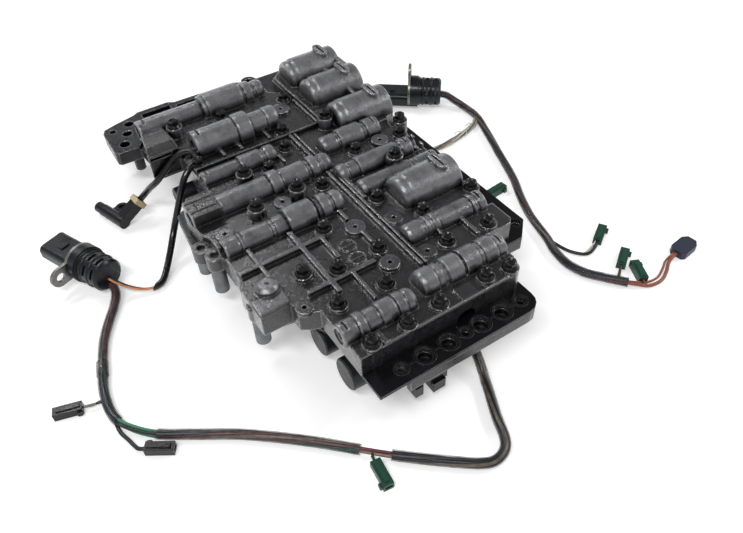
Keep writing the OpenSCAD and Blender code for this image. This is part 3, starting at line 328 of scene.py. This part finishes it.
def clear_sleeve(name, tint, body, gaps):
    """Oily clear tube over wires, cut away in each gap: centre and radius in millimetres."""
    k = Look(name)
    streak = k.noise(160, 4, 0.6)
    rim = k.add("ShaderNodeLayerWeight", {"Blend": 0.35}).outputs["Facing"]
    share = k.math("ADD", k.remap(streak, 0.45, 0.75, body, body + 0.3), k.math("MULTIPLY", rim, 0.45))
    for centre, radius in gaps:
        share = k.math("MULTIPLY", share, k.math("GREATER_THAN", k.away(centre), radius * MM))
    glossy = k.add("ShaderNodeBsdfPrincipled", {
        "Base Color": k.mix(k.remap(streak, 0.4, 0.7), rgb(*tint), shade(tint, 0.5)),
        "Roughness": k.remap(streak, 0.3, 0.7, 0.12, 0.3), "Normal": k.bump(streak, 0.25, 0.0006)})
    clear = k.add("ShaderNodeBsdfTransparent")
    joined = k.add("ShaderNodeMixShader", {0: share, 1: clear.outputs[0], 2: glossy.outputs[0]})
    return k.finish(joined.outputs[0])


# Spacing of the points on a cord, in millimetres
PATH_STEP = 2.0


# Cord helpers
def smooth(route):
    """Points every few millimetres on a smooth curve through the route, in metres."""
    pts = [Vector(p) for p in route]
    ends = [2 * pts[0] - pts[1]] + pts + [2 * pts[-1] - pts[-2]]
    path = []
    for i in range(1, len(ends) - 2):
        p0, p1, p2, p3 = ends[i - 1:i + 3]
        t1 = (p1 - p0).length ** 0.5
        t2 = t1 + (p2 - p1).length ** 0.5
        t3 = t2 + (p3 - p2).length ** 0.5
        count = max(2, round((p2 - p1).length / PATH_STEP))
        for n in range(count):
            t = t1 + (t2 - t1) * n / count
            a1 = p0.lerp(p1, t / t1)
            a2 = p1.lerp(p2, (t - t1) / (t2 - t1))
            a3 = p2.lerp(p3, (t - t2) / (t3 - t2))
            b1 = a1.lerp(a2, t / t2)
            b2 = a2.lerp(a3, (t - t1) / (t3 - t1))
            path.append(b1.lerp(b2, (t - t1) / (t2 - t1)) * MM)
    path.append(pts[-1] * MM)
    return path


def length_of(path):
    return sum((b - a).length for a, b in zip(path, path[1:]))


def add_spline(data, path, index):
    spline = data.splines.new("POLY")
    spline.points.add(len(path) - 1)
    for point, place in zip(spline.points, path):
        point.co = (*place, 1.0)
    spline.use_smooth = True
    spline.material_index = index


def line(name, paths, radius, mats):
    """A round line along each path, with one material each."""
    data = bpy.data.curves.new(name, "CURVE")
    data.dimensions = "3D"
    data.bevel_depth = radius
    data.bevel_resolution = 4
    data.use_fill_caps = True
    for mat in mats:
        data.materials.append(mat)
    for index, path in enumerate(paths):
        add_spline(data, path, index)
    obj = bpy.data.objects.new(name, data)
    scene.collection.objects.link(obj)
    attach(obj, BODY)
    return obj


def beside(path, angle, reach, turns):
    """A path that winds slowly round another one."""
    out = []
    last = len(path) - 1
    for i, p in enumerate(path):
        t = (path[min(i + 1, last)] - path[max(i - 1, 0)]).normalized()
        side = t.cross(Vector((0, 0, 1))).normalized()
        up = side.cross(t)
        a = angle + 2 * math.pi * turns * i / last
        out.append(p + reach * (math.cos(a) * side + math.sin(a) * up))
    return out


# Radii of the cords, in millimetres
LOOM_R = 4
BRANCH_R = 3
LEAD_R = 3
WIRE_R = 1.5
# Radii of the cuff, the wires and the strands, in millimetres
CUFF_R = 4.7
LOOM_WIRE_R = 1.2
BRANCH_WIRE_R = 0.85
LEAD_WIRE_R = 0.95
STUB_R = 1.0
PAIR_B_R = 0.8
PAIR_C_R = 1.0
FRAY_R = 0.45
# Reach of the wires from the middle of their tube, in millimetres
LOOM_REACH = 2.1
BRANCH_REACH = 1.7
LEAD_REACH = 1.2
# Length of the left loom for each turn of its wires, in metres, and turns of the other wires
TURN_LENGTH = 0.22
LOOM_TURNS = 2.0
BRANCH_TURNS = 1.5
LEAD_TURNS = 0.1
# Angles at which the first wire of a bundle and the two bare wires of the lead start, in radians
FIRST_ANGLE = 0.4
LEAD_ANGLES = (0.2, 3.3)
# Cord routes, in millimetres, each from where it leaves
LEFT_LOOM = [
    (22, -191.5, 16), (22, -193.5, 16), (21.8, -197.5, 15.4), (21.3, -201.7, 13.8),
    (19.8, -209, 9.7), (17.9, -215.2, 6.3), (16.1, -219.7, 4.6), (14.3, -223.9, 4), (12, -229, 4),
    (2, -250, 4), (-3.7, -264.4, 4), (-8.2, -270.7, 4), (-15, -274.3, 4), (-22.7, -274.6, 4),
    (-29.8, -271.4, 4), (-48, -257, 4), (-76, -232, 4), (-117, -191, 4), (-155, -158, 4),
    (-184, -138, 4), (-206, -122, 4), (-217, -109, 4), (-223, -98, 4), (-225, -86, 4),
    (-223, -66, 4), (-217, -46, 4), (-207, -19, 4), (-194, 3, 4), (-188.5, 11, 4.3),
    (-183.7, 19.2, 5.5), (-181.8, 23.6, 6.5), (-181.3, 28.8, 7.6), (-182.1, 34.3, 8.5)]
RIGHT_BRANCH = [
    (96.5, 31.5, 16), (106.5, 31.5, 16), (128, 31.5, 6), (150, 31.5, 3), (174, 31.5, 3),
    (196, 35, 3), (212, 39, 3), (223, 44, 3), (232, 52, 3)]
RIGHT_LOOM = [
    (218, 98, 13.5), (222.6, 94.1, 12.5), (228, 86, 8), (233, 71, 4), (232, 52, 4), (222, 23, 4),
    (209, -10, 4), (192, -53, 4), (179, -78, 4), (168, -104, 4), (160, -133, 4), (154, -150, 4),
    (152, -167, 4), (156, -183, 4), (164, -195, 4), (177, -212, 4)]
SENSOR_LEAD = [
    (-174.6, 37.7, 12.5), (-171.8, 31.3, 11.5), (-166, 23.5, 7.5), (-159.6, 17.4, 4.2),
    (-155.1, 14.8, 3.2), (-149.9, 14.2, 3), (-145, 15.7, 3.1), (-140.9, 19.1, 4), (-128, 35, 10.5),
    (-115, 50, 22), (-104.5, 56, 39), (-97, 59.5, 52), (-90.5, 63, 60.5), (-83.5, 66, 65.5),
    (-77.9, 68.7, 67), (-73.2, 73.2, 67.6), (-71.7, 79.6, 67.7), (-73.2, 86, 67.5),
    (-77.9, 90.6, 66.6), (-84.3, 92.4, 63.9), (-92, 92.6, 58.9), (-98.5, 92.5, 53.7),
    (-104.2, 92.3, 49.1), (-107.5, 92.9, 45.9), (-110, 94.9, 42.7), (-113.6, 100, 36.8),
    (-116.3, 107.9, 28.1), (-119, 111.1, 23.4), (-123.9, 112, 19.4)]
WIRE_A = [
    (-225, -95, 1.5), (-225, -106, 1.5), (-222.2, -116, 1.5), (-220.6, -122.5, 2.2),
    (-218.9, -127.3, 3), (-215, -129.8, 3.25)]
WIRE_B = [
    (162, -125, 1.5), (163, -142, 1.5), (167, -157, 1.5), (177, -167, 1.5), (187.9, -165.1, 3.25),
    (193, -162, 3.25)]
WIRE_C = [
    (177, -212, 3.25), (183, -218, 3), (190, -223, 1.5), (203, -225, 1.5), (216, -220, 1.5),
    (225, -214.5, 1.5), (230.1, -212.9, 3.25), (237, -212, 3.25)]
WIRE_D = [
    (96.5, -50.5, 16), (104.5, -50.5, 16), (128, -52, 8), (141, -57, 4), (150.5, -58.1, 3.25),
    (156.5, -57.5, 3.25)]

# Cuff on the left loom, wires behind the plugs, second wires of two plugs, and stray strands
CUFF = [(-215.4, -40.5, 4.7), (-217.2, -46, 4.7), (-219.3, -53, 4.7)]
STUBS = [
    [(-225.4, -75, 4), (-229, -73, 3), (-234, -73.4, 3.4), (-240.2, -70.9, 3.25)],
    [(-86.5, -223, 4), (-87.6, -225.6, 3.6), (-88.4, -228.9, 3.25)],
    [(173.5, -203.5, 3.6), (179, -201.2, 2.4), (186.8, -195.2, 3.25)],
    [(185.5, -220, 2.6), (187.6, -221, 3), (190, -217.3, 3.25)]]
PAIR_B = [
    (176, -164.8, 1.4), (182, -164, 2.2), (187.6, -162.8, 3.4), (192.6, -160.9, 3.4)]
PAIR_C = [
    (177, -210.4, 4), (184, -215.6, 3), (191, -219, 1.2), (203, -220.6, 1.1), (215, -216.4, 1.1),
    (224, -211.7, 1.4), (229.8, -210.9, 3.2), (236.6, -210.2, 3.25)]
FRAYS = [
    [(219, 42, 5), (214, 43.5, 6.2), (209, 42.8, 5.6)],
    [(206, 37, 5), (203, 33.2, 4), (199.5, 31.4, 2.6)],
    [(200, 36, 5), (195, 38.6, 6.6), (190.5, 37.4, 6)],
    [(186, 33.5, 5), (182, 30, 4.2), (178.8, 28.6, 2.2)]]

# Bare wires from the left connector into the lead's sleeve
LEAD_WIRES = [
    (-181, 35, 13.5), (-177.5, 28.5, 12), (-169, 21, 7), (-159, 15.6, 3.5), (-150, 14, 3),
    (-144, 16.3, 3.4)]

# Wire colours inside the tubes
mauve = wire_skin("wire_mauve", (0.12, 0.045, 0.045))
maroon = wire_skin("wire_maroon", (0.13, 0.016, 0.024))
sand = wire_skin("wire_sand", (0.21, 0.17, 0.13))
cream = wire_skin("wire_cream", (0.60, 0.55, 0.44))
moss = wire_skin("wire_moss", (0.03, 0.09, 0.06))
leaf = wire_skin("wire_leaf", (0.04, 0.19, 0.10))
ink = wire_skin("wire_ink", (0.008, 0.009, 0.013))
slate = wire_skin("wire_slate", (0.045, 0.05, 0.062))
orange = wire_skin("wire_orange", (0.66, 0.25, 0.10))
navy = wire_skin("wire_navy", (0.012, 0.018, 0.05))
rose = wire_skin("wire_rose", (0.26, 0.075, 0.045))

# Places where a loom's tube is cut away: centre and radius in millimetres
PLUG_GAP = ((-84, -224, 4), 11.5)
BEND_GAP = ((-214, -111.5, 4), 16.5)
SLEEVE_START = ((-168, 30, 8), 23.5)
left_tube = clear_sleeve("left_tube", (0.045, 0.043, 0.045), 0.16, [PLUG_GAP, BEND_GAP])
right_tube = clear_sleeve("right_tube", (0.045, 0.043, 0.046), 0.18, [])
branch_tube = clear_sleeve("branch_tube", (0.5, 0.47, 0.40), 0.05, [])
lead_sleeve = clear_sleeve("lead_sleeve", (0.006, 0.006, 0.007), 1.0, [SLEEVE_START])

# Wires of the left loom from the body to the connector: end of each length, their reach and colours
LEFT_LENGTHS = [
    ((-76, -232), LOOM_REACH, [ink, sand, ink, slate, ink, sand]),
    ((-92, -216), 1.1, [maroon, sand]),
    ((-204, -124), LOOM_REACH, [sand, mauve, moss, ink, slate, mauve]),
    ((-223, -97), 1.7, [leaf, ink, leaf, sand]),
    ((-217, -46), LOOM_REACH, [ink, navy, ink, slate, ink, moss]),
    ((-186, 33), LOOM_REACH, [mauve, slate, sand, ink, slate, mauve])]
STUB_COLOURS = [sand, ink, rose, rose]


def bundle(name, path, reach, radius, mats, turns):
    """Wires that fill a tube."""
    count = len(mats)
    paths = [beside(path, 2 * math.pi * n / count + FIRST_ANGLE, reach, turns) for n in range(count)]
    return line(name, paths, radius, mats)


def left_lengths(path):
    """The left loom's wires, length by length."""
    pieces = []
    start = 0
    for n, ((x, y), reach, mats) in enumerate(LEFT_LENGTHS):
        goal = Vector((x, y, LOOM_R)) * MM
        stop = min(range(start, len(path)), key=lambda i: (path[i] - goal).length)
        part = path[start:stop + 1]
        turns = length_of(part) / TURN_LENGTH
        name = "left_loom_wires_" + str(n)
        pieces.append(bundle(name, part, reach * MM, LOOM_WIRE_R * MM, mats, turns))
        start = stop
    return pieces


def tube(name, route, radius, mat):
    path = smooth(route)
    obj = line(name, [path], radius * MM, [mat])
    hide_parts(name.removesuffix("_tube"))
    return obj, path


def build_cords():
    left, path = tube("left_loom_tube", LEFT_LOOM, LOOM_R, left_tube)
    cuff = line("left_loom_cuff", [smooth(CUFF)], CUFF_R * MM, [right_tube])
    stubs = [line("plug_wire_" + str(n), [smooth(route)], STUB_R * MM, [mat])
             for n, (route, mat) in enumerate(zip(STUBS, STUB_COLOURS))]
    left_lengths(path)

    branch, path = tube("right_branch_tube", RIGHT_BRANCH, BRANCH_R, branch_tube)
    branch_wires = bundle("right_branch_wires", path, BRANCH_REACH * MM, BRANCH_WIRE_R * MM,
                          [cream, sand, ink, cream, slate], BRANCH_TURNS)
    frayed = line("right_branch_frays", [smooth(route) for route in FRAYS], FRAY_R * MM,
                  [cream] * len(FRAYS))

    right, path = tube("right_loom_tube", RIGHT_LOOM, LOOM_R, right_tube)
    right_wires = bundle("right_loom_wires", path, LOOM_REACH * MM, LOOM_WIRE_R * MM,
                         [mauve, slate, ink, ink, sand, ink], LOOM_TURNS)

    lead, path = tube("sensor_lead_tube", SENSOR_LEAD, LEAD_R, lead_sleeve)
    bare = smooth(LEAD_WIRES)
    pair = [beside(bare, angle, LEAD_REACH * MM, LEAD_TURNS) for angle in LEAD_ANGLES]
    lead_wires = line("sensor_lead_wires", pair, LEAD_WIRE_R * MM, [orange, navy])

    pair_b = line("wire_b_pair", [smooth(PAIR_B)], PAIR_B_R * MM, [cream])
    pair_c = line("wire_c_pair", [smooth(PAIR_C)], PAIR_C_R * MM, [rose])
    small = [("wire_a", WIRE_A, ink, [NODES["black_plugs"]]),
             ("wire_b", WIRE_B, ink, [NODES["green_plugs"], pair_b]),
             ("wire_c", WIRE_C, rose, [NODES["blue_plug"], pair_c]),
             ("wire_d", WIRE_D, ink, [NODES["green_plugs"]])]
    for name, route, mat, ends in small:
        wire, path = tube(name + "_tube", route, WIRE_R, mat)


build_cords()

# Finishes of the CAD nodes; the castings' colours are for their floor, ribs and tops
CASTING_Z = (0.0648, 0.0675, 0.077)
RIB = (0.105, 0.105, 0.113)
LOW_TONE = (0.022, 0.023, 0.027)
left_casting = cast_metal(
    "left_casting", (0.026, 0.026, 0.029), RIB, (0.245, 0.247, 0.260), CASTING_Z, 0.30, 0.45, 0.9)
right_casting = cast_metal(
    "right_casting", (0.043, 0.043, 0.047), RIB, (0.235, 0.237, 0.250), CASTING_Z, 0.30, 0.45, 0.9)
lower_casting = cast_metal(
    "lower_casting", (0.022, 0.023, 0.026), LOW_TONE, LOW_TONE, (0.010, 0.030, 0.044), 0.32, 0.4, 0.25)
cover = cast_metal(
    "cover", (0.07, 0.07, 0.072), (0.09, 0.09, 0.092), (0.10, 0.10, 0.10), (0.0, 0.005, 0.010),
    0.45, 0.4, 0.3)
gasket = gloss_sheet("gasket", (0.004, 0.004, 0.005), (0.016, 0.0165, 0.018), 0.14)
plate = gloss_sheet("plate", (0.012, 0.012, 0.014), (0.05, 0.05, 0.054), 0.2)
bolt = worn_metal("bolt", (0.006, 0.006, 0.007), (0.09, 0.09, 0.092), 0.2, 0.4, 0.6)
clip = worn_metal("clip", (0.12, 0.12, 0.12), (0.4, 0.4, 0.4), 0.32, 0.8, 0.6)
tab = worn_metal("tab", (0.22, 0.215, 0.20), (0.5, 0.49, 0.46), 0.36, 0.8, 0.5, 180)
spring_steel = turned_metal("spring", (0.5, 0.5, 0.5), 0.3, "X", 400)
black_plastic = moulded_plastic("black_plastic", (0.004, 0.004, 0.006), 0.28)
FINISH = {
    left_casting: ["left_valve_body"],
    right_casting: ["right_valve_body"],
    lower_casting: ["lower_valve_body"],
    cover: ["bottom_cover"],
    gasket: ["upper_gasket", "lower_gasket"],
    plate: ["separator_plate"],
    bolt: ["body_bolts", "cover_bolts", "accumulator_keys"],
    clip: ["retainer_clips", "solenoid_clamps"],
    tab: ["left_bracket", "right_bracket"],
    spring_steel: ["spool_springs", "accumulator_springs"],
    turned_metal("plug", (0.20, 0.20, 0.195), 0.34, "X", 500): ["bore_plugs", "accumulator_caps"],
    turned_metal("ball", (0.6, 0.6, 0.6), 0.15, "Z", 300): ["check_balls"],
    turned_metal("post", (0.19, 0.195, 0.205), 0.38, "Z", 450): ["standoff_posts"],
    turned_metal("can", (0.042, 0.043, 0.047), 0.36, "X", 350): ["linear_solenoids"],
    turned_metal("spool", (0.45, 0.455, 0.46), 0.28, "X", 500): ["spool_" + c for c in "abcdefghijk"],
    turned_metal("piston", (0.48, 0.47, 0.45), 0.3, "X", 500): ["piston_" + c for c in "abcd"],
    black_plastic: ["shift_solenoids", "speed_sensor", "black_plugs"],
    moulded_plastic("connector", (0.007, 0.0085, 0.0125), 0.3): ["left_connector", "right_connector"],
    moulded_plastic("seal", (0.006, 0.006, 0.006), 0.3): ["connector_seals"],
    moulded_plastic("green_plastic", (0.011, 0.058, 0.036), 0.36): ["green_plugs"],
    moulded_plastic("blue_plastic", (0.020, 0.026, 0.046), 0.5): ["blue_plug"],
    moulded_plastic("band", (0.56, 0.47, 0.27), 0.5, 0.45, 1.2): ["sensor_band"],
}
for mat, names in FINISH.items():
    for name in names:
        for slot in NODES[name].material_slots:
            slot.material = mat


# Springs, each pressed together by the spool or piston on it: wire and depth of its seat, in millimetres
SPRINGS = {"spool_springs": (1.2, 0.5), "accumulator_springs": (2.2, 9.5)}
SPRING_TURNS = 5
TURN_STEPS = 24
RING = 10
# Longest reach of a spring past its spool or piston, in metres
SPRING_SPAN = 0.02


def helix(name, low, high, y, z, radius, wire):
    """A coil spring along X with closed ends, in metres."""
    steps = SPRING_TURNS * TURN_STEPS
    verts = []
    for i in range(steps + 1):
        u = i / steps
        turn = 2 * math.pi * SPRING_TURNS * u
        x = low + wire / 2 + (high - low - wire) * u * u * (3 - 2 * u)
        for k in range(RING):
            side = 2 * math.pi * k / RING
            r = radius + wire / 2 * math.cos(side)
            verts.append((x + wire / 2 * math.sin(side), y + r * math.cos(turn), z + r * math.sin(turn)))
    faces = [tuple(range(RING)), tuple(range(steps * RING + RING - 1, steps * RING - 1, -1))]
    for i in range(steps):
        for k in range(RING):
            n = (k + 1) % RING
            faces.append((i * RING + n, i * RING + k, (i + 1) * RING + k, (i + 1) * RING + n))
    mesh = bpy.data.meshes.new(name)
    mesh.from_pydata(verts, [], faces)
    mesh.polygons.foreach_set("use_smooth", [True] * len(mesh.polygons))
    mesh.materials.append(spring_steel)
    obj = bpy.data.objects.new(name, mesh)
    scene.collection.objects.link(obj)
    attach(obj, BODY)
    return obj


def own_springs(group, wire, depth):
    """Each spring of a CAD group as its own piece."""
    points = [v.co for v in NODES[group].data.vertices]
    for joint in frame["joints"]:
        if joint["deforming_nodes"][0]["node"] != group:
            continue
        low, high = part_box(joint["child"])
        y, z = (low[1] + high[1]) / 2, (low[2] + high[2]) / 2
        way = joint["axis"][0]
        end = high[0] if way > 0 else low[0]
        near = [p for p in points if -depth < (p.x - end) * way < SPRING_SPAN]
        mine = [p for p in near if math.hypot(p.y - y, p.z - z) < high[1] - y]
        start, stop = min(p.x for p in mine), max(p.x for p in mine)
        outer = max(math.hypot(p.y - y, p.z - z) for p in mine)
        obj = helix(joint["child"] + "_spring", start, stop, y, z, outer - wire / 2, wire)
        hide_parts(group)
        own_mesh(obj)


for group, (wire, depth) in SPRINGS.items():
    own_springs(group, wire * MM, depth * MM)


# Floor, backdrop and light
FLOOR_HALF = 6.0
FLOOR_DROP = 0.0004
# Lift of the floor's white near the part and far from it: distances in metres, then strengths
FLOOR_LIFT = (0.5, 2.5, 0.36, 0.8)
# Fall of the backdrop from the horizon up: heights of the direction, then strengths
SKY_FALL = (0.1, 0.5, 1.0, 0.25)
# Strip lamps: place, aim, width and height in metres, and power in watts
LAMPS = {
    "key": ((-0.7, -0.55, 1.45), (0, 0, 0.04), 1.0, 0.12, 13.5),
    "back": ((-0.3, 1.2, 1.5), (0, 0, 0.04), 1.2, 0.1, 11),
    "side": ((1.2, -0.45, 1.0), (0.05, -0.05, 0.04), 0.8, 0.1, 7),
}


def make_floor():
    h = FLOOR_HALF
    mesh = bpy.data.meshes.new("floor")
    mesh.from_pydata([(-h, -h, 0), (h, -h, 0), (h, h, 0), (-h, h, 0)], [], [(0, 1, 2, 3)])
    floor = bpy.data.objects.new("floor", mesh)
    floor.location.z = -FLOOR_DROP
    scene.collection.objects.link(floor)
    k = Look("floor")
    tint = k.mix(k.remap(k.noise(3, 2), 0.3, 0.7), rgb(0.80, 0.80, 0.80), rgb(0.82, 0.82, 0.82))
    matt = k.add("ShaderNodeBsdfDiffuse", {"Color": tint})
    far = k.vector("LENGTH", k.place, out="Value")
    lift = k.add("ShaderNodeEmission", {"Color": rgb(1, 1, 1), "Strength": k.remap(far, *FLOOR_LIFT)})
    both = k.add("ShaderNodeAddShader", {0: matt.outputs[0], 1: lift.outputs[0]})
    path = k.add("ShaderNodeLightPath").outputs
    seen = k.math("MAXIMUM", path["Is Camera Ray"], path["Is Glossy Ray"])
    seen = k.math("MAXIMUM", seen, path["Is Transmission Ray"])
    joined = k.add("ShaderNodeMixShader", {0: seen, 1: matt.outputs[0], 2: both.outputs[0]})
    mesh.materials.append(k.finish(joined.outputs[0]))


def make_world():
    """White at the horizon and dimmer overhead."""
    world = bpy.data.worlds.new("studio")
    world.use_nodes = True
    scene.world = world
    tree = world.node_tree
    tree.nodes.clear()
    out = tree.nodes.new("ShaderNodeOutputWorld")
    sky = tree.nodes.new("ShaderNodeBackground")
    sky.inputs["Color"].default_value = rgb(1, 1, 1)
    way = tree.nodes.new("ShaderNodeTexCoord").outputs["Generated"]
    height = tree.nodes.new("ShaderNodeSeparateXYZ")
    fall = tree.nodes.new("ShaderNodeMapRange")
    for key, value in zip(("From Min", "From Max", "To Min", "To Max"), SKY_FALL):
        fall.inputs[key].default_value = value
    tree.links.new(way, height.inputs[0])
    tree.links.new(height.outputs["Z"], fall.inputs["Value"])
    tree.links.new(fall.outputs[0], sky.inputs["Strength"])
    tree.links.new(sky.outputs[0], out.inputs[0])


def soft_box(name, place, aim, width, height, power):
    data = bpy.data.lights.new(name, "AREA")
    data.shape = "RECTANGLE"
    data.size = width
    data.size_y = height
    data.energy = power
    lamp = bpy.data.objects.new(name, data)
    scene.collection.objects.link(lamp)
    lamp.location = place
    lamp.rotation_euler = (Vector(aim) - Vector(place)).to_track_quat("-Z", "Y").to_euler()


make_floor()
make_world()
for name, values in LAMPS.items():
    soft_box(name, *values)
